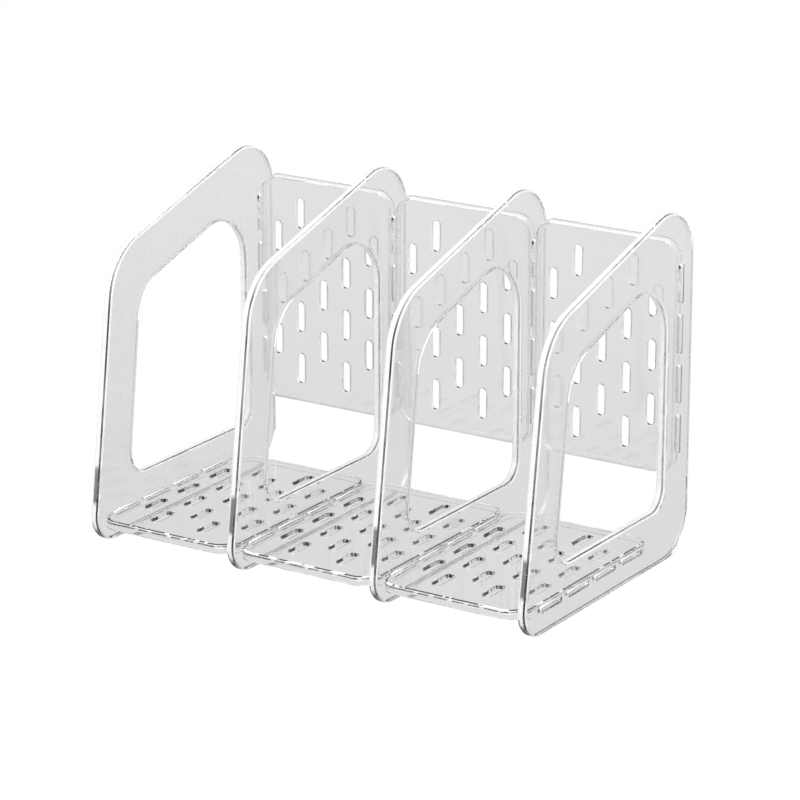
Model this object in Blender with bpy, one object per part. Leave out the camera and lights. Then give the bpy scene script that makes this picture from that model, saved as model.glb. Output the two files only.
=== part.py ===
"""Clear desktop file sorter with three compartments.

Four window-framed dividers stand in a row. Three base panels and three back
panels, all shallow slotted trays, press between them. Units are metres, +Z is
up, +X runs along the row and +Y points to the back of the sorter.
"""

import math

import bmesh
import bpy
from mathutils import Vector

# Row of dividers
COMPARTMENT_NAMES = ("left", "middle", "right")
DIVIDER_NAMES = (
    "left_end_divider",
    "left_inner_divider",
    "right_inner_divider",
    "right_end_divider",
)
DIVIDER_PITCH = 0.097
DIVIDER_THICKNESS = 0.006
ASSEMBLY_GAP = 0.0003

# Divider side view: Y is measured from the foot of the front edge before rounding
FRONT_LEAN = 0.0238
SHOULDER_HEIGHT = 0.1711
DIVIDER_DEPTH = 0.1862
PEAK_CORNER_HEIGHT = 0.2179
FRONT_FOOT_RADIUS = 0.017
SHOULDER_RADIUS = 0.038
PEAK_RADIUS = 0.0295
REAR_FOOT_RADIUS = 0.025
DIVIDER_EDGE_RADIUS = 0.0015

# Divider window, in the same side view
WINDOW_FRONT_LOW_Y = 0.0351
WINDOW_FRONT_HIGH_Y = 0.0493
WINDOW_REAR_Y = 0.1568
WINDOW_LOW_Z = 0.0335
WINDOW_FRONT_HIGH_Z = 0.1454
WINDOW_REAR_HIGH_Z = 0.1785
WINDOW_FRONT_FOOT_RADIUS = 0.0148
WINDOW_SHOULDER_RADIUS = 0.0306
WINDOW_PEAK_RADIUS = 0.030
WINDOW_REAR_FOOT_RADIUS = 0.0127

# Slotted trays
PANEL_DEPTH = 0.0055
PLATE_THICKNESS = 0.0025
RIM_THICKNESS = 0.002
PANEL_CORNER_RADIUS = 0.011
PANEL_EDGE_RADIUS = 0.0014
BASE_PANEL_LENGTH = 0.145
BACK_PANEL_LENGTH = 0.1408
BASE_TOP_HEIGHT = 0.0173
BACK_FOOT_HEIGHT = 0.0485
BACK_FACE_Y = 0.1708

# Slots through each plate, in staggered columns
SLOT_LENGTH = 0.019
SLOT_WIDTH = 0.0055
SLOT_ROW_PITCH = 0.0327
SLOT_COLUMN_PITCH = 0.01646
SLOTS_PER_COLUMN = (3, 4, 3, 4, 3)

# Press tabs on the long walls of each tray, and the divider slots they enter
TABS_PER_WALL = 4
TAB_PITCH = 0.030
TAB_LENGTH = 0.022
TAB_HEIGHT = 0.0026
TAB_REACH = 0.0012

# Smoothness of the rounded shapes
DIVIDER_ARC_SEGMENTS = 8
WINDOW_ARC_SEGMENTS = 7
PANEL_ARC_SEGMENTS = 5
SLOT_ARC_SEGMENTS = 5
EDGE_SEGMENTS = 2

# Clear moulded plastic
PLASTIC_COLOUR = (0.90, 0.92, 0.93, 1.0)
PLASTIC_ROUGHNESS = 0.04
PLASTIC_IOR = 1.49
SHADE_ANGLE = math.radians(40)

PANEL_WIDTH = DIVIDER_PITCH - DIVIDER_THICKNESS - 2 * ASSEMBLY_GAP
TAB_SINK = PANEL_EDGE_RADIUS + TAB_HEIGHT / 2


def clear_scene():
    """Remove every object that the scene starts with."""
    for obj in list(bpy.data.objects):
        bpy.data.objects.remove(obj, do_unlink=True)


def clear_plastic(name):
    """Colourless see-through moulded plastic."""
    material = bpy.data.materials.new(name)
    material.use_nodes = True
    shader = material.node_tree.nodes["Principled BSDF"]
    shader.inputs["Base Color"].default_value = PLASTIC_COLOUR
    shader.inputs["Metallic"].default_value = 0.0
    shader.inputs["Roughness"].default_value = PLASTIC_ROUGHNESS
    shader.inputs["IOR"].default_value = PLASTIC_IOR
    shader.inputs["Transmission Weight"].default_value = 1.0
    return material


def arc(centre, radius, start, sweep, segments):
    """Points on an arc, both ends included."""
    points = []
    for step in range(segments + 1):
        angle = start + sweep * step / segments
        points.append(
            (centre[0] + radius * math.cos(angle), centre[1] + radius * math.sin(angle))
        )
    return points


def rounded_polygon(corners, radii, segments, grow=0.0):
    """Convex anticlockwise outline with tangent arcs, moved outwards by grow."""
    outline = []
    for index, radius in enumerate(radii):
        corner = Vector(corners[index])
        before = (Vector(corners[index - 1]) - corner).normalized()
        after = (Vector(corners[(index + 1) % len(corners)]) - corner).normalized()
        half_angle = before.angle(after) / 2
        centre = corner + (before + after).normalized() * radius / math.sin(half_angle)
        first = corner + before * radius / math.tan(half_angle) - centre
        start = math.atan2(first.y, first.x)
        sweep = math.pi - 2 * half_angle
        outline += arc(centre, radius + grow, start, sweep, segments)
    return outline


def slot_outline(centre, length, width):
    """Round-ended slot that runs along the second axis."""
    reach = (length - width) / 2
    far = (centre[0], centre[1] + reach)
    near = (centre[0], centre[1] - reach)
    outline = arc(far, width / 2, 0.0, math.pi, SLOT_ARC_SEGMENTS)
    return outline + arc(near, width / 2, math.pi, math.pi, SLOT_ARC_SEGMENTS)


def box_outline(centre, size):
    """Rectangle about a centre."""
    half_x = size[0] / 2
    half_y = size[1] / 2
    signs = ((-1, -1), (1, -1), (1, 1), (-1, 1))
    return [(centre[0] + sx * half_x, centre[1] + sy * half_y) for sx, sy in signs]


def tab_centres():
    """Distances of the tabs from the middle of a panel's long wall."""
    first = -TAB_PITCH * (TABS_PER_WALL - 1) / 2
    return [first + TAB_PITCH * index for index in range(TABS_PER_WALL)]


def edge_steps(radius):
    """(sink, inset) pairs round a quarter circle, from a flat face to its side wall."""
    steps = []
    for index in range(EDGE_SEGMENTS + 1):
        angle = math.pi / 2 * index / EDGE_SEGMENTS
        steps.append((radius * (1 - math.cos(angle)), radius * (1 - math.sin(angle))))
    return steps


def add_ring(mesh, outline, height):
    """Loop of vertices at one height."""
    return [mesh.verts.new((x, y, height)) for x, y in outline]


def ring_edges(mesh, ring):
    """Edges round a ring, made where they are missing."""
    edges = []
    for index, vert in enumerate(ring):
        pair = (ring[index - 1], vert)
        edges.append(mesh.edges.get(pair) or mesh.edges.new(pair))
    return edges


def bridge(mesh, first, second):
    """Wall of four-sided faces between two rings with the same count."""
    faces = []
    for index in range(len(first)):
        after = (index + 1) % len(first)
        corners = (first[index], first[after], second[after], second[index])
        faces.append(mesh.faces.new(corners))
    return faces


def bridge_all(mesh, rings):
    """Walls between each ring and the next."""
    for first, second in zip(rings, rings[1:]):
        bridge(mesh, first, second)


def fill_flat(mesh, rings):
    """Flat face inside the first ring, open inside the others."""
    edges = [edge for ring in rings for edge in ring_edges(mesh, ring)]
    bmesh.ops.triangle_fill(mesh, use_beauty=True, use_dissolve=False, edges=edges)


def finish_mesh(mesh, name):
    """Outward normals and smooth shading that stops at sharp edges."""
    bmesh.ops.recalc_face_normals(mesh, faces=mesh.faces[:])
    data = bpy.data.meshes.new(name)
    mesh.to_mesh(data)
    mesh.free()
    data.shade_smooth()
    data.set_sharp_from_angle(angle=SHADE_ANGLE)
    return data


def divider_corners():
    """Side view of the divider before rounding."""
    return (
        (0.0, 0.0),
        (DIVIDER_DEPTH, 0.0),
        (DIVIDER_DEPTH, PEAK_CORNER_HEIGHT),
        (FRONT_LEAN, SHOULDER_HEIGHT),
    )


def divider_outline(grow=0.0):
    """Rounded side view of the divider."""
    radii = (FRONT_FOOT_RADIUS, REAR_FOOT_RADIUS, PEAK_RADIUS, SHOULDER_RADIUS)
    return rounded_polygon(divider_corners(), radii, DIVIDER_ARC_SEGMENTS, grow)


def window_outline(grow=0.0):
    """Rounded side view of the divider's window."""
    corners = (
        (WINDOW_FRONT_LOW_Y, WINDOW_LOW_Z),
        (WINDOW_REAR_Y, WINDOW_LOW_Z),
        (WINDOW_REAR_Y, WINDOW_REAR_HIGH_Z),
        (WINDOW_FRONT_HIGH_Y, WINDOW_FRONT_HIGH_Z),
    )
    radii = (
        WINDOW_FRONT_FOOT_RADIUS,
        WINDOW_REAR_FOOT_RADIUS,
        WINDOW_PEAK_RADIUS,
        WINDOW_SHOULDER_RADIUS,
    )
    return rounded_polygon(corners, radii, WINDOW_ARC_SEGMENTS, grow)


def front_edge_y():
    """Foremost point of the rounded divider, in the side view."""
    return min(y for y, _ in divider_outline())


def middle_y():
    """Middle of the rounded divider's depth, in the side view."""
    return (front_edge_y() + DIVIDER_DEPTH) / 2


def base_centre():
    """Middle of the base plate's top face, in the side view."""
    return front_edge_y() + BASE_PANEL_LENGTH / 2, BASE_TOP_HEIGHT


def back_centre():
    """Middle of the back plate's front face, in the side view."""
    return BACK_FACE_Y, BACK_FOOT_HEIGHT + BACK_PANEL_LENGTH / 2


def tab_slot_outlines():
    """Openings in the divider that the tabs of both kinds of panel enter."""
    long_side = TAB_LENGTH + 2 * ASSEMBLY_GAP
    short_side = TAB_HEIGHT + 2 * ASSEMBLY_GAP
    base_y, base_z = base_centre()
    back_y, back_z = back_centre()
    outlines = []
    for along in tab_centres():
        base_slot = (base_y + along, base_z - TAB_SINK)
        back_slot = (back_y + TAB_SINK, back_z + along)
        outlines.append(box_outline(base_slot, (long_side, short_side)))
        outlines.append(box_outline(back_slot, (short_side, long_side)))
    return outlines


def divider_mesh():
    """Framed plate with a large window and the slots for the panels' tabs."""
    mesh = bmesh.new()
    half = DIVIDER_THICKNESS / 2
    steps = edge_steps(DIVIDER_EDGE_RADIUS)
    levels = [(half - sink, inset) for sink, inset in steps]
    levels += [(-level, inset) for level, inset in reversed(levels)]
    outer = [add_ring(mesh, divider_outline(-inset), level) for level, inset in levels]
    window = [add_ring(mesh, window_outline(inset), level) for level, inset in levels]
    slots = [
        [add_ring(mesh, outline, level) for level in (half, -half)]
        for outline in tab_slot_outlines()
    ]
    for rings in (outer, window, *slots):
        bridge_all(mesh, rings)
    for side in (0, -1):
        fill_flat(mesh, [rings[side] for rings in (outer, window, *slots)])
    return finish_mesh(mesh, "divider")


def panel_outline(length, inset):
    """Rounded rectangle with a point at each end of each tab on the long walls."""
    half_width = PANEL_WIDTH / 2 - inset
    half_length = length / 2 - inset
    radius = PANEL_CORNER_RADIUS - inset
    centre_x = half_width - radius
    centre_y = half_length - radius
    tab_ends = sorted(
        centre + side * TAB_LENGTH / 2 for centre in tab_centres() for side in (-1, 1)
    )
    quarter = math.pi / 2
    right_wall = [(half_width, y) for y in tab_ends]
    left_wall = [(-half_width, y) for y in reversed(tab_ends)]
    return (
        arc((centre_x, -centre_y), radius, -quarter, quarter, PANEL_ARC_SEGMENTS)
        + right_wall
        + arc((centre_x, centre_y), radius, 0.0, quarter, PANEL_ARC_SEGMENTS)
        + arc((-centre_x, centre_y), radius, quarter, quarter, PANEL_ARC_SEGMENTS)
        + left_wall
        + arc((-centre_x, -centre_y), radius, math.pi, quarter, PANEL_ARC_SEGMENTS)
    )


def tab_faces(wall):
    """Faces of the wall band that become tabs."""
    per_arc = PANEL_ARC_SEGMENTS + 1
    right_start = per_arc
    left_start = 3 * per_arc + 2 * TABS_PER_WALL
    starts = (right_start, left_start)
    return [wall[start + 2 * index] for start in starts for index in range(TABS_PER_WALL)]


def slot_centres():
    """Centres of the plate's slots: full columns, with shorter ones half a row off."""
    centres = []
    middle_column = (len(SLOTS_PER_COLUMN) - 1) / 2
    for column, count in enumerate(SLOTS_PER_COLUMN):
        x = (column - middle_column) * SLOT_COLUMN_PITCH
        for row in range(count):
            centres.append((x, (row - (count - 1) / 2) * SLOT_ROW_PITCH))
    return centres


def panel_mesh(name, length):
    """Shallow tray: slotted plate on top, rim below, tabs on both long walls."""
    mesh = bmesh.new()
    steps = edge_steps(PANEL_EDGE_RADIUS)
    top_rings = [add_ring(mesh, panel_outline(length, inset), -sink) for sink, inset in steps]
    wall_outline = panel_outline(length, 0.0)
    inner_outline = panel_outline(length, RIM_THICKNESS)
    tab_foot = add_ring(mesh, wall_outline, -PANEL_EDGE_RADIUS - TAB_HEIGHT)
    rim_outer = add_ring(mesh, wall_outline, -PANEL_DEPTH)
    rim_inner = add_ring(mesh, inner_outline, -PANEL_DEPTH)
    underside = add_ring(mesh, inner_outline, -PLATE_THICKNESS)
    bridge_all(mesh, top_rings)
    tab_band = bridge(mesh, top_rings[-1], tab_foot)
    bridge_all(mesh, (tab_foot, rim_outer, rim_inner, underside))
    slots = []
    for centre in slot_centres():
        outline = slot_outline(centre, SLOT_LENGTH, SLOT_WIDTH)
        slots.append([add_ring(mesh, outline, level) for level in (0.0, -PLATE_THICKNESS)])
        bridge_all(mesh, slots[-1])
    fill_flat(mesh, [top_rings[0]] + [rings[0] for rings in slots])
    fill_flat(mesh, [underside] + [rings[1] for rings in slots])
    raised = bmesh.ops.extrude_discrete_faces(mesh, faces=tab_faces(tab_band))
    for face in raised["faces"]:
        side = math.copysign(1.0, face.calc_center_median().x)
        offset = (side * (ASSEMBLY_GAP + TAB_REACH), 0.0, 0.0)
        bmesh.ops.translate(mesh, vec=offset, verts=face.verts[:])
    return finish_mesh(mesh, name)


def place(name, data, location, rotation):
    """Object with its own clear plastic, standing in the scene."""
    obj = bpy.data.objects.new(name, data)
    bpy.context.scene.collection.objects.link(obj)
    if not data.materials:
        data.materials.append(None)
    obj.material_slots[0].link = "OBJECT"
    obj.material_slots[0].material = clear_plastic(name + "_plastic")
    obj.location = location
    obj.rotation_euler = rotation
    return obj


def build():
    """Four dividers, three base panels and three back panels."""
    divider = divider_mesh()
    base = panel_mesh("base_panel", BASE_PANEL_LENGTH)
    back = panel_mesh("back_panel", BACK_PANEL_LENGTH)
    quarter = math.pi / 2
    upright = (quarter, 0.0, quarter)
    base_y, base_z = base_centre()
    back_y, back_z = back_centre()
    first_divider_x = -DIVIDER_PITCH * len(COMPARTMENT_NAMES) / 2
    for index, name in enumerate(DIVIDER_NAMES):
        x = first_divider_x + index * DIVIDER_PITCH
        place(name, divider, (x, -middle_y(), 0.0), upright)
    for index, name in enumerate(COMPARTMENT_NAMES):
        x = first_divider_x + (index + 0.5) * DIVIDER_PITCH
        base_location = (x, base_y - middle_y(), base_z)
        back_location = (x, back_y - middle_y(), back_z)
        place(name + "_base_panel", base, base_location, (0.0, 0.0, 0.0))
        place(name + "_back_panel", back, back_location, (quarter, 0.0, 0.0))


clear_scene()
build()
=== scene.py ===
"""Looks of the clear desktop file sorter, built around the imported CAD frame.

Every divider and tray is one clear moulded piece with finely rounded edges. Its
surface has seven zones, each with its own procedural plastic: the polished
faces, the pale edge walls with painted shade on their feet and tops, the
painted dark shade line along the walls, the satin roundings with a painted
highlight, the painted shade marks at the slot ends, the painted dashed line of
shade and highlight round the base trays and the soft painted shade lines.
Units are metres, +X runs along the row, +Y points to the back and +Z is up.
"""

import math
import bmesh
import bpy
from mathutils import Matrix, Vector


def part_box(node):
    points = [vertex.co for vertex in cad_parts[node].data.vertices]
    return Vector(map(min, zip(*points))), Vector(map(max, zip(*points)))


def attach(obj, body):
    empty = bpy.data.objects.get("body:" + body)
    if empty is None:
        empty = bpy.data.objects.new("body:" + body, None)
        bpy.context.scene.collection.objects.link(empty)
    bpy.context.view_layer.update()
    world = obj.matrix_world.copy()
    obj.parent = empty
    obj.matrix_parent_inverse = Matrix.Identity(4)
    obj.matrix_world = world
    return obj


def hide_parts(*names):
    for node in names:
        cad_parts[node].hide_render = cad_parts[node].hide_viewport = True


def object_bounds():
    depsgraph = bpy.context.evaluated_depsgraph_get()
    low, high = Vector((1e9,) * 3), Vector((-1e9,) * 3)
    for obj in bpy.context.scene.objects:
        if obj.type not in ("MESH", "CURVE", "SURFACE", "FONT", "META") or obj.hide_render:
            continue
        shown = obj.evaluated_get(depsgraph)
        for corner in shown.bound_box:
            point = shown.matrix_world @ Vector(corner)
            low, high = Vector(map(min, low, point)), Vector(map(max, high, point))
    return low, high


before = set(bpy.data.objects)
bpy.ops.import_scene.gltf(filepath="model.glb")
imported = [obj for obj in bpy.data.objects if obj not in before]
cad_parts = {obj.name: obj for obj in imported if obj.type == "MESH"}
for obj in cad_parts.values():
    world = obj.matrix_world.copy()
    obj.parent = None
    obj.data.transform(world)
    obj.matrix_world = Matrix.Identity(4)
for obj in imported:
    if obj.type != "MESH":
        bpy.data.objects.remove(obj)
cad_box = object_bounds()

DIVIDER_NODES = (
    "left_end_divider",
    "left_inner_divider",
    "right_inner_divider",
    "right_end_divider",
)
BASE_NODES = ("left_base_panel", "middle_base_panel", "right_base_panel")
BACK_NODES = ("left_back_panel", "middle_back_panel", "right_back_panel")
PIECE_SUFFIX = "_clear"

# Divider side view: Y is measured from the foot of the front edge before rounding
FRONT_LEAN = 0.0238
SHOULDER_HEIGHT = 0.1711
DIVIDER_DEPTH = 0.1862
PEAK_CORNER_HEIGHT = 0.2179
DIVIDER_RADII = (0.017, 0.025, 0.0295, 0.038)
DIVIDER_EDGE_RADIUS = 0.0015
# Width of the painted dark shade line along the edge walls
SHADE_LINE_WIDTH = 0.0007

# Divider window, in the same side view
WINDOW_CORNERS = ((0.0351, 0.0335), (0.1568, 0.0335), (0.1568, 0.1785), (0.0493, 0.1454))
WINDOW_RADII = (0.0148, 0.0127, 0.030, 0.0306)

# Slotted trays
PLATE_THICKNESS = 0.0025
PANEL_DEPTH = 0.0055
RIM_THICKNESS = 0.002
PANEL_CORNER_RADIUS = 0.011
PANEL_EDGE_RADIUS = 0.0014
RIM_EDGE_RADIUS = 0.0004
INNER_FILLET_RADIUS = 0.0007
PANEL_GAP = 0.0003

# Slots through each plate, in staggered columns
SLOT_LENGTH = 0.019
SLOT_WIDTH = 0.0055
SLOT_ROW_PITCH = 0.0327
SLOT_COLUMN_PITCH = 0.01646
SLOTS_PER_COLUMN = (3, 4, 3, 4, 3)
SLOT_EDGE_RADIUS = 0.0003

# Press tabs on the trays and the divider slots that they enter
TABS_PER_WALL = 4
TAB_PITCH = 0.030
TAB_LENGTH = 0.022
TAB_HEIGHT = 0.0026
TAB_REACH = 0.0012
TAB_EDGE_RADIUS = 0.00035
TAB_SLOT_CORNER_RADIUS = 0.0008
TAB_SLOT_EDGE_RADIUS = 0.0002
TAB_SINK = PANEL_EDGE_RADIUS + TAB_HEIGHT / 2

# Smoothness of the rounded shapes
CORNER_SEGMENTS = 20
SLOT_SEGMENTS = 10
EDGE_SEGMENTS = 4
FINE_EDGE_SEGMENTS = 2

# Flat faces stay flat next to their roundings, and turns above this angle stay crisp
FLAT_LIMIT = 0.99999
SHARP_TURN = math.radians(35)

# Surface zones, in the order of each mesh's materials: clear faces, edge walls with some
# painted shade, a painted shade line, a painted highlight, painted shade marks,
# painted dashes of shade and highlight, and painted soft shade lines
FACE_ZONE = 0
WALL_ZONE = 1
SHADE_LINE_ZONE = 2
HIGHLIGHT_ZONE = 3
SHADE_MARK_ZONE = 4
PAINTED_DASH_ZONE = 5
SOFT_SHADE_ZONE = 6

# Zones of the two steps of a fine rounding: clear, or a painted highlight
CLEAR_ROUNDING = (FACE_ZONE, FACE_ZONE)
HIGHLIGHT_ROUNDING = (HIGHLIGHT_ZONE, HIGHLIGHT_ZONE)

# Painted shade marks on the walls of the trays' slots: how many segments of a back
# slot's end, which segments of a base slot's far arc, and how far up its left side
END_MARK_SEGMENTS = 4
FAR_MARKS = (2, 5, 6)
CORNER_MARK_REACH = 0.0060

# How far an edge may face the back or the desk before its wall turns clear, or painted soft
# shade on its near side
HIDDEN_EDGE_LIMIT = -0.15

# Sideways part of a direction that puts an edge's face on one side of its divider
SIDE_LIMIT = 0.1

# Painted dark shade outline of the dividers' front feet, where the edge turns down
FOOT_TURN = -0.05
FOOT_HEIGHT = 0.014

# Directions that tell a tab's ends and its upper edges from its other faces
TAB_END_LIMIT = 0.5
TAB_TOP_LIMIT = 0.3

# Clear plastic
PLASTIC_IOR = 1.49

# Middle part of a noise's values, where most of them lie
NOISE_RANGE = (0.3, 0.7)

# Sockets of a Mix node that mixes colours
MIX_FIRST = 6
MIX_SECOND = 7
MIX_RESULT = 2

# Upward part of a surface's direction, from upright to facing up
UPRIGHT = 0.35
FACING_UP = 0.80

# Heights between which the painted dark shade line on the slanted edges fades, and how far
LINE_FADE_LOW = 0.158
LINE_FADE_HIGH = 0.178
LINE_FADE = 0.70
FADED_LINE = (0.85, 0.86, 0.86, 1.0)

# Fading of that line on upright walls, by distance behind the middle of the row
LINE_DEPTH_RANGE = 0.1
LINE_DEPTH_STOPS = (
    (0.30, (0.0, 0.0, 0.0)),
    (0.45, (0.55, 0.55, 0.55)),
    (0.68, (0.55, 0.55, 0.55)),
    (0.72, (0.0, 0.0, 0.0)),
)

# Painted shade: grey of white edges that face up, so that the overhead light doesn't burn them
# out
TOP_PAINTED_SHADE = 0.76

# Painted shade up the lower part of the dividers' front edge, as (part of the top height,
# colour)
FRONT_SHADE_Y = -0.070
FRONT_SHADE_BLEND = 0.01
FRONT_SHADE_TOP = 0.080
FRONT_SHADE_STOPS = (
    (0.00, (0.03, 0.03, 0.03)),
    (0.09, (0.05, 0.05, 0.05)),
    (0.14, (1.0, 1.0, 1.0)),
    (0.30, (1.0, 1.0, 1.0)),
    (0.34, (0.18, 0.18, 0.18)),
    (0.57, (0.22, 0.22, 0.22)),
    (0.61, (1.0, 1.0, 1.0)),
)

WHITE = (1.0, 1.0, 1.0, 1.0)

# Studio
FLOOR_SIZE = 80.0
CAMERA_AZIMUTH = math.radians(32.75)
CAMERA_ELEVATION = math.radians(17.84)
CAMERA_DISTANCE = 2.172
CAMERA_TARGET = Vector((0.0099, -0.0032, 0.0926))
CAMERA_LENS = 169.6
SENSOR_WIDTH = 36.0
VIEW_DEPTH = 200.0

# Brightness that the camera sees, and the one that lights the object
BACKGROUND_WHITE = 1.0
STUDIO_GREY = 0.72

# Floor behind the object, which grows brighter between these distances
FAR_FLOOR_BRIGHTNESS = 0.775
FAR_FLOOR_START = 0.10
FAR_FLOOR_END = 0.60

# Front and overhead light, which grow between these parts of a direction
FRONT_BRIGHTNESS = 1.35
FRONT_LIGHT_START = 0.1
FRONT_LIGHT_END = 0.6
OVERHEAD_BRIGHTNESS = 2.2
OVERHEAD_LIGHT_START = 0.45
OVERHEAD_LIGHT_END = 0.75

# Painted shadow on the floor under the trays: width of its soft edge, and distance from the
# front
SHADE_FADE = 0.012
SHADE_FRONT = 0.032

# Bounces that a ray needs to cross the whole row of clear plates
CLEAR_BOUNCES = 32
GLOSSY_BOUNCES = 16
DIFFUSE_BOUNCES = 12


# ---------------------------------------------------------------- outlines


def arc(centre, radius, start, sweep, segments):
    """Points on an arc, both ends included."""
    points = []
    for step in range(segments + 1):
        angle = start + sweep * step / segments
        x = centre[0] + radius * math.cos(angle)
        y = centre[1] + radius * math.sin(angle)
        points.append((x, y))
    return points


def rounded_polygon(corners, radii, segments, grow):
    """Convex anticlockwise outline with tangent arcs, moved outwards by grow."""
    outline = []
    for index, radius in enumerate(radii):
        corner = Vector(corners[index])
        before = (Vector(corners[index - 1]) - corner).normalized()
        after = (Vector(corners[(index + 1) % len(corners)]) - corner).normalized()
        half_angle = before.angle(after) / 2
        centre = corner + (before + after).normalized() * radius / math.sin(half_angle)
        first = corner + before * radius / math.tan(half_angle) - centre
        start = math.atan2(first.y, first.x)
        sweep = math.pi - 2 * half_angle
        outline += arc(centre, radius + grow, start, sweep, segments)
    return outline


def stadium(centre, length, width, grow):
    """Round-ended slot along the second axis, with a split on each straight side."""
    reach = (length - width) / 2
    radius = width / 2 + grow
    far = (centre[0], centre[1] + reach)
    near = (centre[0], centre[1] - reach)
    split = near[1] + CORNER_MARK_REACH
    left_side = [(centre[0] - radius, split)]
    right_side = [(centre[0] + radius, split)]
    far_end = arc(far, radius, 0.0, math.pi, SLOT_SEGMENTS)
    near_end = arc(near, radius, math.pi, math.pi, SLOT_SEGMENTS)
    return far_end + left_side + near_end + right_side


def rounded_box(centre, size, radius, grow):
    """Rectangle about a centre, with rounded corners."""
    half_x = size[0] / 2
    half_y = size[1] / 2
    signs = ((-1, -1), (1, -1), (1, 1), (-1, 1))
    corners = [(centre[0] + sx * half_x, centre[1] + sy * half_y) for sx, sy in signs]
    return rounded_polygon(corners, (radius,) * len(corners), EDGE_SEGMENTS, grow)


def edge_steps(radius, segments):
    """(sink, inset) pairs round a quarter circle, from a flat face to its wall."""
    steps = []
    for index in range(segments + 1):
        angle = math.pi / 2 * index / segments
        steps.append((radius * (1 - math.cos(angle)), radius * (1 - math.sin(angle))))
    return steps


def tab_centres():
    """Distances of the tabs from the middle of a panel's long wall."""
    first = -TAB_PITCH * (TABS_PER_WALL - 1) / 2
    return [first + TAB_PITCH * index for index in range(TABS_PER_WALL)]


# ---------------------------------------------------------------- mesh work


def add_ring(mesh, outline, height):
    """Loop of vertices at one height."""
    return [mesh.verts.new((x, y, height)) for x, y in outline]


def bridge(mesh, first, second, zone):
    """Wall of four-sided faces between two rings with the same count."""
    faces = []
    for index in range(len(first)):
        after = (index + 1) % len(first)
        corners = (first[index], first[after], second[after], second[index])
        face = mesh.faces.new(corners)
        face.material_index = zone
        faces.append(face)
    return faces


def bridge_all(mesh, rings, zone):
    """Walls between each ring and the next."""
    for first, second in zip(rings, rings[1:]):
        bridge(mesh, first, second, zone)


def fill_flat(mesh, rings):
    """Flat polished face inside the first ring, open inside the others."""
    edges = []
    for ring in rings:
        for index, vert in enumerate(ring):
            edges.append(mesh.edges.get((ring[index - 1], vert)))
    filled = bmesh.ops.triangle_fill(mesh, use_beauty=True, use_dissolve=False, edges=edges)
    for item in filled["geom"]:
        if isinstance(item, bmesh.types.BMFace):
            item.material_index = FACE_ZONE


def add_through_edge(mesh, outline_at, levels, radius, segments, side, zones, line_width=0.0):
    """Wall from one flat face to the other, rounded into both.

    outline_at(grow) gives the outline, levels the two faces' heights and zones
    the surfaces of the upper rounding, the wall and the lower rounding. Each
    rounding has one for every step, from its flat face to the wall. side is
    -1 for an outer edge, which draws in at the faces, and 1 for an opening,
    which widens there. A painted dark shade line of line_width may run along the
    top of the wall.
    Returns the rings on the two faces, the wall's faces and the lower rounding's.
    """
    top, bottom = levels
    steps = edge_steps(radius, segments)
    upper = [add_ring(mesh, outline_at(side * inset), top - sink) for sink, inset in steps]
    lower = [add_ring(mesh, outline_at(side * inset), bottom + sink) for sink, inset in steps]
    for zone, first, second in zip(zones[0], upper, upper[1:]):
        bridge(mesh, first, second, zone)
    wall_top = upper[-1]
    if line_width:
        wall_top = add_ring(mesh, outline_at(0.0), top - radius - line_width)
        bridge(mesh, upper[-1], wall_top, SHADE_LINE_ZONE)
    wall = bridge(mesh, wall_top, lower[-1], zones[1])
    rounding = []
    for zone, first, second in zip(zones[2], lower, lower[1:]):
        rounding.append(bridge(mesh, first, second, zone))
    return (upper[0], lower[0]), wall, rounding


def finish_mesh(mesh, name):
    """Outward normals, smooth within each zone and crisp at zones and flat faces."""
    bmesh.ops.recalc_face_normals(mesh, faces=mesh.faces[:])
    for face in mesh.faces:
        face.smooth = True
    for edge in mesh.edges:
        zones = {face.material_index for face in edge.link_faces}
        flats = {abs(face.normal.z) > FLAT_LIMIT for face in edge.link_faces}
        sharp_turn = edge.calc_face_angle(0.0) > SHARP_TURN
        edge.smooth = len(zones) == 1 and len(flats) == 1 and not sharp_turn
    data = bpy.data.meshes.new(name)
    mesh.to_mesh(data)
    mesh.free()
    return data


# ---------------------------------------------------------------- dividers


def divider_outline(grow):
    """Rounded side view of the divider."""
    corners = (
        (0.0, 0.0),
        (DIVIDER_DEPTH, 0.0),
        (DIVIDER_DEPTH, PEAK_CORNER_HEIGHT),
        (FRONT_LEAN, SHOULDER_HEIGHT),
    )
    return rounded_polygon(corners, DIVIDER_RADII, CORNER_SEGMENTS, grow)


def window_outline(grow):
    """Rounded side view of the divider's window."""
    return rounded_polygon(WINDOW_CORNERS, WINDOW_RADII, CORNER_SEGMENTS, grow)


def tab_slots(side_shift):
    """Centre and size of each tab slot, in the divider's side view."""
    base_low, base_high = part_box(BASE_NODES[0])
    back_low, back_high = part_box(BACK_NODES[0])
    base_y = (base_low.y + base_high.y) / 2 + side_shift
    base_z = base_high.z - TAB_SINK
    back_y = back_low.y + side_shift + TAB_SINK
    back_z = (back_low.z + back_high.z) / 2
    long_side = TAB_LENGTH + 2 * PANEL_GAP
    short_side = TAB_HEIGHT + 2 * PANEL_GAP
    slots = []
    for along in tab_centres():
        slots.append(((base_y + along, base_z), (long_side, short_side)))
        slots.append(((back_y, back_z + along), (short_side, long_side)))
    return slots


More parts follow.
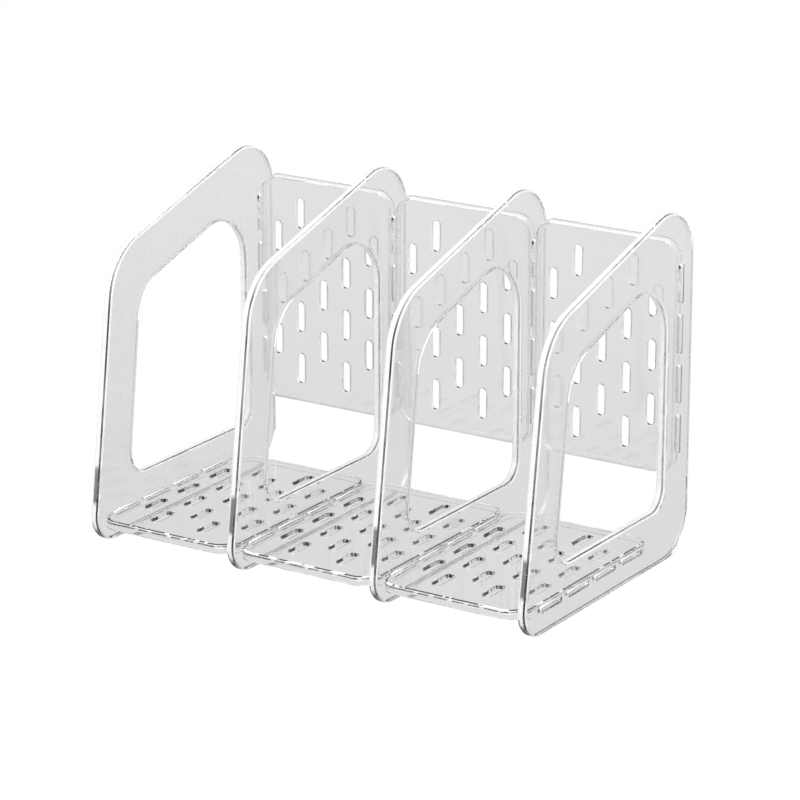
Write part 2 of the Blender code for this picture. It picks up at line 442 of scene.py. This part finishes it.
def divider_mesh():
    """Framed plate in its side view, X to the back and Y up, with tab slots.

    Also returns how far the side view's X lies ahead of the object's Y.
    """
    low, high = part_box(DIVIDER_NODES[0])
    levels = ((high.x - low.x) / 2, (low.x - high.x) / 2)
    side_shift = min(y for y, _ in divider_outline(0.0)) - low.y
    # Near edge: painted highlight and then a painted shade line on its rounding; far edge:
    # painted soft shade and painted highlight
    near_edge = (FACE_ZONE, HIGHLIGHT_ZONE, HIGHLIGHT_ZONE, SHADE_LINE_ZONE)
    far_edge = (SOFT_SHADE_ZONE, HIGHLIGHT_ZONE, HIGHLIGHT_ZONE, HIGHLIGHT_ZONE)
    edge_zones = (near_edge, WALL_ZONE, far_edge)
    slot_zones = (CLEAR_ROUNDING, FACE_ZONE, CLEAR_ROUNDING)
    mesh = bmesh.new()
    rims = []
    for outline_at, side in ((divider_outline, -1), (window_outline, 1)):
        rim, _, _ = add_through_edge(
            mesh,
            outline_at,
            levels,
            DIVIDER_EDGE_RADIUS,
            EDGE_SEGMENTS,
            side,
            edge_zones,
            SHADE_LINE_WIDTH,
        )
        rims.append(rim)
    for centre, size in tab_slots(side_shift):

        def slot_at(grow, centre=centre, size=size):
            return rounded_box(centre, size, TAB_SLOT_CORNER_RADIUS, grow)

        rim, _, _ = add_through_edge(
            mesh,
            slot_at,
            levels,
            TAB_SLOT_EDGE_RADIUS,
            FINE_EDGE_SEGMENTS,
            1,
            slot_zones,
            SHADE_LINE_WIDTH,
        )
        rims.append(rim)
    for face in (0, 1):
        fill_flat(mesh, [rim[face] for rim in rims])
    clear_hidden_edges(mesh)
    return finish_mesh(mesh, "divider_detail"), side_shift


def clear_hidden_edges(mesh):
    """Clear walls and painted soft shade lines on edges that face the back or the desk.

    The front feet, where the edge turns down, get a painted dark shade outline on the
    far side.
    """
    bmesh.ops.recalc_face_normals(mesh, faces=mesh.faces[:])
    for face in mesh.faces:
        backwards = face.normal.x
        upwards = face.normal.y
        if upwards * math.tan(CAMERA_ELEVATION) - backwards < HIDDEN_EDGE_LIMIT:
            near_side = face.normal.z > SIDE_LIMIT
            face.material_index = SOFT_SHADE_ZONE if near_side else FACE_ZONE
        elif upwards < FOOT_TURN and face.normal.z < -SIDE_LIMIT:
            if face.calc_center_median().y < FOOT_HEIGHT:
                face.material_index = SHADE_MARK_ZONE


# ---------------------------------------------------------------- trays


def panel_outline(width, length, inset):
    """Rounded rectangle with a point at each end of each tab on the long walls."""
    half_width = width / 2 - inset
    half_length = length / 2 - inset
    radius = PANEL_CORNER_RADIUS - inset
    centre_x = half_width - radius
    centre_y = half_length - radius
    tab_ends = sorted(
        centre + side * TAB_LENGTH / 2 for centre in tab_centres() for side in (-1, 1)
    )
    quarter = math.pi / 2
    right_wall = [(half_width, y) for y in tab_ends]
    left_wall = [(-half_width, y) for y in reversed(tab_ends)]
    return (
        arc((centre_x, -centre_y), radius, -quarter, quarter, CORNER_SEGMENTS)
        + right_wall
        + arc((centre_x, centre_y), radius, 0.0, quarter, CORNER_SEGMENTS)
        + arc((-centre_x, centre_y), radius, quarter, quarter, CORNER_SEGMENTS)
        + left_wall
        + arc((-centre_x, -centre_y), radius, math.pi, quarter, CORNER_SEGMENTS)
    )


def tab_faces(wall):
    """Faces of the wall band that become tabs."""
    per_arc = CORNER_SEGMENTS + 1
    right_start = per_arc
    left_start = 3 * per_arc + 2 * TABS_PER_WALL
    starts = (right_start, left_start)
    return [wall[start + 2 * index] for start in starts for index in range(TABS_PER_WALL)]


def slot_centres():
    """Centres of the plate's slots: full columns, with shorter ones half a row off."""
    centres = []
    middle_column = (len(SLOTS_PER_COLUMN) - 1) / 2
    for column, count in enumerate(SLOTS_PER_COLUMN):
        x = (column - middle_column) * SLOT_COLUMN_PITCH
        for row in range(count):
            centres.append((x, (row - (count - 1) / 2) * SLOT_ROW_PITCH))
    return centres


def raise_tabs(mesh, wall, top_zone):
    """Tabs drawn out of the tray's long walls, with their outer edges rounded, painted dark
    shade on their ends and the given zone along their upper edges.
    """
    raised = bmesh.ops.extrude_discrete_faces(mesh, faces=tab_faces(wall))
    rounded = set()
    for face in raised["faces"]:
        side = math.copysign(1.0, face.calc_center_median().x)
        offset = (side * (PANEL_GAP + TAB_REACH), 0.0, 0.0)
        bmesh.ops.translate(mesh, vec=offset, verts=face.verts[:])
        face.material_index = FACE_ZONE
        rounded.update(face.edges)
    bevelled = bmesh.ops.bevel(
        mesh,
        geom=list(rounded),
        offset=TAB_EDGE_RADIUS,
        segments=FINE_EDGE_SEGMENTS,
        profile=0.5,
        affect="EDGES",
    )
    for face in bevelled["faces"]:
        face.normal_update()
        # Painted dark shade on the tabs' ends
        if abs(face.normal.y) > TAB_END_LIMIT:
            face.material_index = SHADE_MARK_ZONE
        elif face.normal.z > TAB_TOP_LIMIT:
            face.material_index = top_zone
        else:
            face.material_index = FACE_ZONE


def darken_slot_ends(wall, _):
    """The middle of each rounded end of a slot's wall gets the cap surface, a painted dark
    shade mark.
    """
    per_end = SLOT_SEGMENTS + 2
    first = (SLOT_SEGMENTS - END_MARK_SEGMENTS) // 2
    for start in (first, per_end + first):
        for face in wall[start : start + END_MARK_SEGMENTS]:
            face.material_index = SHADE_MARK_ZONE


def darken_slot_corner(wall, lower):
    """Painted dark shade at the near left corner and marks at the far end of a slot, joined by
    a thin painted shade line.
    """
    left_side = SLOT_SEGMENTS
    near_start = left_side + 1
    corner = wall[near_start : near_start + 1 + SLOT_SEGMENTS // 2]
    far_marks = [wall[place] for place in FAR_MARKS]
    for face in corner + far_marks:
        face.material_index = SHADE_MARK_ZONE
    for band in lower:
        band[left_side].material_index = SHADE_LINE_ZONE


def panel_mesh(name, width, length, edge_zones, tab_zone, slot_zones, darken):
    """Shallow tray: slotted plate on top, rim below, tabs on both long walls.

    edge_zones are the surfaces round the plate's edge, from its flat face out,
    tab_zone the one along the tabs' upper edges and slot_zones those of each
    slot. darken marks the ends of a slot with painted dark shade.
    """
    mesh = bmesh.new()

    def ring_at(inset, height):
        return add_ring(mesh, panel_outline(width, length, inset), height)

    top_steps = edge_steps(PANEL_EDGE_RADIUS, EDGE_SEGMENTS)
    rim_steps = edge_steps(RIM_EDGE_RADIUS, FINE_EDGE_SEGMENTS)
    fillet_steps = edge_steps(INNER_FILLET_RADIUS, FINE_EDGE_SEGMENTS)
    foot = -PANEL_DEPTH
    underside = -PLATE_THICKNESS
    top = [ring_at(inset, -sink) for sink, inset in top_steps]
    tab_foot = ring_at(0.0, -PANEL_EDGE_RADIUS - TAB_HEIGHT)
    rim_outer = [ring_at(inset, foot + sink) for sink, inset in rim_steps]
    rim_inner = [ring_at(RIM_THICKNESS - inset, foot + sink) for sink, inset in rim_steps]
    fillet = [ring_at(RIM_THICKNESS + inset, underside - sink) for sink, inset in fillet_steps]
    for zone, first, second in zip(edge_zones, top, top[1:]):
        bridge(mesh, first, second, zone)
    wall = bridge(mesh, top[-1], tab_foot, FACE_ZONE)
    bridge(mesh, tab_foot, rim_outer[-1], FACE_ZONE)
    # Painted soft shade round the rim's outer rounding
    bridge_all(mesh, rim_outer[::-1], SOFT_SHADE_ZONE)
    bridge(mesh, rim_outer[0], rim_inner[0], FACE_ZONE)
    bridge_all(mesh, rim_inner, FACE_ZONE)
    bridge(mesh, rim_inner[-1], fillet[-1], FACE_ZONE)
    bridge_all(mesh, fillet[::-1], FACE_ZONE)
    rims = [(top[0], fillet[0])]
    for centre in slot_centres():

        def slot_at(grow, centre=centre):
            return stadium(centre, SLOT_LENGTH, SLOT_WIDTH, grow)

        rim, slot_wall, lower = add_through_edge(
            mesh,
            slot_at,
            (0.0, underside),
            SLOT_EDGE_RADIUS,
            FINE_EDGE_SEGMENTS,
            1,
            slot_zones,
        )
        darken(slot_wall, lower)
        rims.append(rim)
    for face in (0, 1):
        fill_flat(mesh, [rim[face] for rim in rims])
    raise_tabs(mesh, wall, tab_zone)
    return finish_mesh(mesh, name)


# ---------------------------------------------------------------- materials


class NodeTools:
    """Short calls for one material's node tree."""

    def __init__(self, material):
        self.tree = material.node_tree
        self.nodes = self.tree.nodes

    def add(self, kind, **settings):
        node = self.nodes.new(kind)
        for key, value in settings.items():
            setattr(node, key, value)
        return node

    def link(self, source, target):
        self.tree.links.new(source, target)

    def put(self, value, socket):
        """Set a socket to a number or colour, or link another socket to it."""
        if isinstance(value, (int, float, tuple)):
            socket.default_value = value
        else:
            self.link(value, socket)

    def coordinates(self, output="Position"):
        """X, Y and Z of the place on the object, or of its surface direction."""
        geometry = self.add("ShaderNodeNewGeometry")
        split = self.add("ShaderNodeSeparateXYZ")
        self.link(geometry.outputs[output], split.inputs["Vector"])
        return split.outputs

    def position(self, stretch=(1.0, 1.0, 1.0)):
        """Place on the object, stretched along each axis."""
        geometry = self.add("ShaderNodeNewGeometry")
        mapping = self.add("ShaderNodeMapping")
        mapping.inputs["Scale"].default_value = stretch
        self.link(geometry.outputs["Position"], mapping.inputs["Vector"])
        return mapping.outputs["Vector"]

    def noise(self, scale, detail=2.0, roughness=0.5, stretch=(1.0, 1.0, 1.0)):
        """Noise over the object; scale is in features per metre."""
        node = self.add("ShaderNodeTexNoise")
        node.inputs["Scale"].default_value = scale
        node.inputs["Detail"].default_value = detail
        node.inputs["Roughness"].default_value = roughness
        self.link(self.position(stretch), node.inputs["Vector"])
        return node.outputs["Fac"]

    def spread(self, value, low, high, to_low, to_high):
        """Value mapped from one range to another and clamped."""
        node = self.add("ShaderNodeMapRange")
        node.inputs["From Min"].default_value = low
        node.inputs["From Max"].default_value = high
        node.inputs["To Min"].default_value = to_low
        node.inputs["To Max"].default_value = to_high
        self.link(value, node.inputs["Value"])
        return node.outputs["Result"]

    def ramp(self, value, stops):
        """Colours along a value; stops are (position, colour)."""
        node = self.add("ShaderNodeValToRGB")
        elements = node.color_ramp.elements
        while len(elements) < len(stops):
            elements.new(0.5)
        for element, (position, colour) in zip(elements, stops):
            element.position = position
            element.color = (*colour, 1.0)
        self.link(value, node.inputs["Fac"])
        return node.outputs["Color"]

    def combine(self, operation, first, second):
        """Sum, product or other maths of two values; either may be a number."""
        node = self.add("ShaderNodeMath", operation=operation)
        for socket, value in zip(node.inputs, (first, second)):
            self.put(value, socket)
        return node.outputs["Value"]

    def mix_colours(self, blend, factor, first, second):
        """Two colours blended; each may be a socket or a constant."""
        node = self.add("ShaderNodeMix", data_type="RGBA", blend_type=blend)
        self.put(factor, node.inputs["Factor"])
        self.put(first, node.inputs[MIX_FIRST])
        self.put(second, node.inputs[MIX_SECOND])
        return node.outputs[MIX_RESULT]

    def bump(self, height, distance, strength=1.0, below=None):
        """Bump of that height in metres, on top of another bump if given."""
        node = self.add("ShaderNodeBump")
        node.inputs["Strength"].default_value = strength
        node.inputs["Distance"].default_value = distance
        self.link(height, node.inputs["Height"])
        if below is not None:
            self.link(below, node.inputs["Normal"])
        return node.outputs["Normal"]


def new_plastic(name, transmission):
    """Principled clear plastic; returns the material, its tools and its shader."""
    material = bpy.data.materials.new(name)
    material.use_nodes = True
    tools = NodeTools(material)
    shader = tools.nodes["Principled BSDF"]
    shader.inputs["IOR"].default_value = PLASTIC_IOR
    shader.inputs["Transmission Weight"].default_value = transmission
    return material, tools, shader


def dress(tools, shader, colour, patches, roughness, grain, grain_height):
    """Colour, roughness that varies between two values, and a fine grain as bump.

    grain is the scale and detail of its noise, and grain_height is in metres.
    """
    tools.link(colour, shader.inputs["Base Color"])
    tools.link(tools.spread(patches, *NOISE_RANGE, *roughness), shader.inputs["Roughness"])
    tools.link(tools.bump(tools.noise(*grain), grain_height), shader.inputs["Normal"])


def face_plastic():
    """Polished faces: faint cloudiness, moulding waves, hairline scratches."""
    material, tools, shader = new_plastic("clear_plastic_face", 1.0)
    cloud = tools.noise(14.0, 3.0)
    colour = tools.ramp(cloud, ((0.30, (0.965, 0.968, 0.970)), (0.70, (0.995, 0.996, 0.996))))
    scratches = tools.noise(60.0, 6.0, 0.7, (1.0, 12.0, 3.0))
    scuffs = tools.spread(scratches, 0.60, 0.72, 0.0, 0.05)
    haze = tools.spread(cloud, *NOISE_RANGE, 0.006, 0.02)
    waves = tools.bump(tools.noise(22.0, 1.0), 0.0002)
    tools.link(colour, shader.inputs["Base Color"])
    tools.link(tools.combine("ADD", haze, scuffs), shader.inputs["Roughness"])
    tools.link(tools.bump(scratches, 0.000004, 1.0, waves), shader.inputs["Normal"])
    return material


def facing_up(tools):
    """1 on surfaces that face up, 0 on upright ones."""
    return tools.spread(tools.coordinates("Normal")["Z"], UPRIGHT, FACING_UP, 0.0, 1.0)


def paint_shade_on_tops(tools, colour):
    """Colour with painted shade, greyer where the surface faces up."""
    grey = tools.spread(facing_up(tools), 0.0, 1.0, 1.0, TOP_PAINTED_SHADE)
    return tools.mix_colours("MULTIPLY", 1.0, colour, grey)


def front_foot_shade(tools):
    """Painted shade in bands up the dividers' front edge, where the tray's joint shows; white
    behind it.
    """
    spot = tools.coordinates()
    height = tools.spread(spot["Z"], 0.0, FRONT_SHADE_TOP, 0.0, 1.0)
    shade = tools.ramp(height, FRONT_SHADE_STOPS)
    shade_end = FRONT_SHADE_Y + FRONT_SHADE_BLEND
    behind = tools.spread(spot["Y"], FRONT_SHADE_Y, shade_end, 0.0, 1.0)
    return tools.mix_colours("MIX", behind, shade, WHITE)


def wall_plastic():
    """Edge walls: less polished, so they catch the light and look white, with painted shade up
    the dividers' front edge and greyer painted shade where they face up.
    """
    material, tools, shader = new_plastic("clear_plastic_edge_wall", 0.25)
    streaks = tools.noise(90.0, 4.0, 0.6)
    light = tools.ramp(streaks, ((0.35, (0.92, 0.93, 0.93)), (0.65, (1.0, 1.0, 1.0))))
    shaded = tools.mix_colours("MULTIPLY", 1.0, light, front_foot_shade(tools))
    colour = paint_shade_on_tops(tools, shaded)
    dress(tools, shader, colour, streaks, (0.22, 0.42), (400.0, 3.0), 0.00001)
    return material


def shade_line_plastic():
    """Painted shade line along the near side of the edge walls: dark, and fainter in places.
    """
    material, tools, shader = new_plastic("clear_plastic_painted_shade_line", 1.0)
    patches = tools.noise(24.0, 3.0, 0.6)
    dark = tools.ramp(patches, ((0.45, (0.01, 0.01, 0.01)), (0.70, (0.30, 0.31, 0.31))))
    spot = tools.coordinates()
    above = tools.spread(spot["Z"], LINE_FADE_LOW, LINE_FADE_HIGH, 0.0, LINE_FADE)
    top = facing_up(tools)
    on_slant = tools.combine("MULTIPLY", above, top)
    depth = tools.spread(spot["Y"], 0.0, LINE_DEPTH_RANGE, 0.0, 1.0)
    band = tools.ramp(depth, LINE_DEPTH_STOPS)
    on_window = tools.combine("MULTIPLY", band, tools.combine("SUBTRACT", 1.0, top))
    fade = tools.combine("MAXIMUM", on_slant, on_window)
    colour = tools.mix_colours("MIX", fade, dark, FADED_LINE)
    dress(tools, shader, colour, patches, (0.05, 0.15), (600.0, 2.0), 0.000006)
    return material


def highlight_plastic():
    """Painted highlight on roundings and back slots: satin white, a little dulled here and
    there.
    """
    material, tools, shader = new_plastic("clear_plastic_painted_highlight", 0.35)
    patches = tools.noise(55.0, 2.0, 0.5)
    light = tools.ramp(patches, ((0.32, (0.86, 0.87, 0.87)), (0.50, (1.0, 1.0, 1.0))))
    colour = paint_shade_on_tops(tools, light)
    dress(tools, shader, colour, patches, (0.15, 0.3), (500.0, 2.0), 0.000008)
    return material


def painted_dash_plastic():
    """Painted line round a base tray's top: dark dashes of shade with short white gaps of
    highlight.
    """
    material, tools, shader = new_plastic("clear_plastic_painted_dashes", 0.2)
    patches = tools.noise(150.0, 2.0, 0.5)
    colour = tools.ramp(patches, ((0.54, (0.003, 0.003, 0.003)), (0.57, (1.0, 1.0, 1.0))))
    dress(tools, shader, colour, patches, (0.08, 0.2), (500.0, 2.0), 0.000006)
    return material


def soft_shade_plastic():
    """Painted shade: thin grey lines on hidden edges and on the trays' rims, stronger in
    places.
    """
    material, tools, shader = new_plastic("clear_plastic_painted_soft_shade", 0.9)
    patches = tools.noise(30.0, 3.0, 0.6)
    colour = tools.ramp(patches, ((0.38, (0.55, 0.56, 0.56)), (0.62, (0.92, 0.93, 0.93))))
    dress(tools, shader, colour, patches, (0.01, 0.04), (60.0, 2.0), 0.00002)
    return material


def shade_mark_plastic():
    """Painted shade: dark marks on the slots' walls, the tabs' ends and the front feet."""
    material, tools, shader = new_plastic("clear_plastic_painted_shade_mark", 0.2)
    patches = tools.noise(160.0, 3.0, 0.6)
    colour = tools.ramp(patches, ((0.40, (0.003, 0.003, 0.003)), (0.70, (0.10, 0.10, 0.10))))
    dress(tools, shader, colour, patches, (0.08, 0.2), (800.0, 2.0), 0.000006)
    return material


# ---------------------------------------------------------------- pieces


def place(node, data, materials, location, rotation):
    """Detailed clear piece that stands for a CAD node."""
    piece = bpy.data.objects.new(node + PIECE_SUFFIX, data)
    bpy.context.scene.collection.objects.link(piece)
    if not data.materials:
        for material in materials:
            data.materials.append(material)
    piece.location = location
    piece.rotation_euler = rotation
    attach(piece, "root")
    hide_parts(node)
    return piece


def build_pieces():
    """Four dividers, three base trays and three back trays."""
    materials = (
        face_plastic(),
        wall_plastic(),
        shade_line_plastic(),
        highlight_plastic(),
        shade_mark_plastic(),
        painted_dash_plastic(),
        soft_shade_plastic(),
    )
    quarter = math.pi / 2
    divider, side_shift = divider_mesh()
    for node in DIVIDER_NODES:
        low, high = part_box(node)
        location = ((low.x + high.x) / 2, -side_shift, 0.0)
        place(node, divider, materials, location, (quarter, 0.0, quarter))
    tab_overhang = 2 * (PANEL_GAP + TAB_REACH)
    low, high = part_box(BASE_NODES[0])
    width = high.x - low.x - tab_overhang
    base = panel_mesh(
        "base_panel_detail",
        width,
        high.y - low.y,
        # Painted dashes of shade and highlight, a painted highlight and painted soft shade
        # round the base tray's edge, painted dashes along its tabs' tops
        (PAINTED_DASH_ZONE, PAINTED_DASH_ZONE, HIGHLIGHT_ZONE, SOFT_SHADE_ZONE),
        PAINTED_DASH_ZONE,
        (CLEAR_ROUNDING, FACE_ZONE, CLEAR_ROUNDING),
        darken_slot_corner,
    )
    for node in BASE_NODES:
        low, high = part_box(node)
        middle = (low + high) / 2
        place(node, base, materials, (middle.x, middle.y, high.z), (0.0, 0.0, 0.0))
    low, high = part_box(BACK_NODES[0])
    back = panel_mesh(
        "back_panel_detail",
        width,
        high.z - low.z,
        # Painted soft shade and painted highlight round the back tray's edge, painted
        # highlight in its slots
        (SOFT_SHADE_ZONE, HIGHLIGHT_ZONE, HIGHLIGHT_ZONE, FACE_ZONE),
        FACE_ZONE,
        (HIGHLIGHT_ROUNDING, HIGHLIGHT_ZONE, HIGHLIGHT_ROUNDING),
        darken_slot_ends,
    )
    for node in BACK_NODES:
        low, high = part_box(node)
        middle = (low + high) / 2
        place(node, back, materials, (middle.x, low.y, middle.z), (quarter, 0.0, 0.0))


# ---------------------------------------------------------------- studio


def glow_for_rays(tools, seen, lit):
    """Emission strength: one value to the camera, another to all other rays."""
    path = tools.add("ShaderNodeLightPath")
    mix = tools.add("ShaderNodeMix", data_type="FLOAT")
    tools.link(path.outputs["Is Camera Ray"], mix.inputs["Factor"])
    tools.put(lit, mix.inputs["A"])
    tools.put(seen, mix.inputs["B"])
    return mix.outputs["Result"]


def footprint_shade(tools):
    """Painted shadow mask: 1 on the floor that the trays cover, fading to 0 at their outline.
    """
    low, high = cad_box
    spot = tools.coordinates()
    across = tools.combine("ABSOLUTE", spot["X"], 0.0)
    sides = tools.spread(across, high.x - SHADE_FADE, high.x, 1.0, 0.0)
    front = low.y + SHADE_FRONT
    before = tools.spread(spot["Y"], front, front + SHADE_FADE, 0.0, 1.0)
    behind = tools.spread(spot["Y"], high.y - SHADE_FADE, high.y, 1.0, 0.0)
    return tools.combine("MULTIPLY", tools.combine("MULTIPLY", before, behind), sides)


def floor_brightness(tools):
    """Light from the floor, which grows towards the back of the studio."""
    depth = tools.coordinates()["Y"]
    return tools.spread(
        depth, FAR_FLOOR_START, FAR_FLOOR_END, STUDIO_GREY, FAR_FLOOR_BRIGHTNESS
    )


def build_floor():
    """Glowing floor: white to the camera with a painted grey shadow under the trays, and soft
    grey to other rays, so it reads as soft grey through plastic.
    """
    half = FLOOR_SIZE / 2
    data = bpy.data.meshes.new("studio_floor")
    corners = [(-half, -half, 0.0), (half, -half, 0.0), (half, half, 0.0), (-half, half, 0.0)]
    data.from_pydata(corners, [], [(0, 1, 2, 3)])
    floor = bpy.data.objects.new("studio_floor", data)
    bpy.context.scene.collection.objects.link(floor)
    material = bpy.data.materials.new("studio_floor_white")
    material.use_nodes = True
    tools = NodeTools(material)
    tools.nodes.remove(tools.nodes["Principled BSDF"])
    glow = tools.add("ShaderNodeEmission")
    glow.inputs["Color"].default_value = WHITE
    shade = footprint_shade(tools)
    # Painted shadow: the camera sees grey floor under the trays
    seen = tools.spread(shade, 0.0, 1.0, BACKGROUND_WHITE, STUDIO_GREY)
    tools.link(glow_for_rays(tools, seen, floor_brightness(tools)), glow.inputs["Strength"])
    tools.link(glow.outputs["Emission"], tools.nodes["Material Output"].inputs["Surface"])
    data.materials.append(material)


def build_world():
    """White surroundings with broad soft light from the front and overhead."""
    world = bpy.data.worlds.new("soft_studio")
    bpy.context.scene.world = world
    world.use_nodes = True
    tools = NodeTools(world)
    background = tools.nodes["Background"]
    background.inputs["Color"].default_value = WHITE
    direction = tools.add("ShaderNodeTexCoord")
    split = tools.add("ShaderNodeSeparateXYZ")
    tools.link(direction.outputs["Generated"], split.inputs["Vector"])
    overhead = tools.spread(
        split.outputs["Z"],
        OVERHEAD_LIGHT_START,
        OVERHEAD_LIGHT_END,
        STUDIO_GREY,
        OVERHEAD_BRIGHTNESS,
    )
    across = tools.combine("MULTIPLY", split.outputs["X"], math.sin(CAMERA_AZIMUTH))
    along = tools.combine("MULTIPLY", split.outputs["Y"], math.cos(CAMERA_AZIMUTH))
    towards = tools.combine("SUBTRACT", across, along)
    front = tools.spread(
        towards, FRONT_LIGHT_START, FRONT_LIGHT_END, STUDIO_GREY, FRONT_BRIGHTNESS
    )
    strength = glow_for_rays(
        tools, BACKGROUND_WHITE, tools.combine("MAXIMUM", front, overhead)
    )
    tools.link(strength, background.inputs["Strength"])


def build_camera():
    """Long lens at the photograph's viewing angle."""
    data = bpy.data.cameras.new("camera")
    data.lens = CAMERA_LENS
    data.sensor_width = SENSOR_WIDTH
    data.clip_end = VIEW_DEPTH
    camera = bpy.data.objects.new("camera", data)
    bpy.context.scene.collection.objects.link(camera)
    back = Vector(
        (
            math.sin(CAMERA_AZIMUTH) * math.cos(CAMERA_ELEVATION),
            -math.cos(CAMERA_AZIMUTH) * math.cos(CAMERA_ELEVATION),
            math.sin(CAMERA_ELEVATION),
        )
    )
    camera.location = CAMERA_TARGET + back * CAMERA_DISTANCE
    camera.rotation_mode = "QUATERNION"
    camera.rotation_quaternion = (-back).to_track_quat("-Z", "Y")
    bpy.context.scene.camera = camera


def set_light_paths():
    """Plain colours, and enough bounces for rays that cross the whole row."""
    scene = bpy.context.scene
    scene.view_settings.view_transform = "Standard"
    scene.cycles.max_bounces = CLEAR_BOUNCES
    scene.cycles.transmission_bounces = CLEAR_BOUNCES
    scene.cycles.glossy_bounces = GLOSSY_BOUNCES
    scene.cycles.diffuse_bounces = DIFFUSE_BOUNCES


build_pieces()
build_floor()
build_world()
build_camera()
set_light_paths()
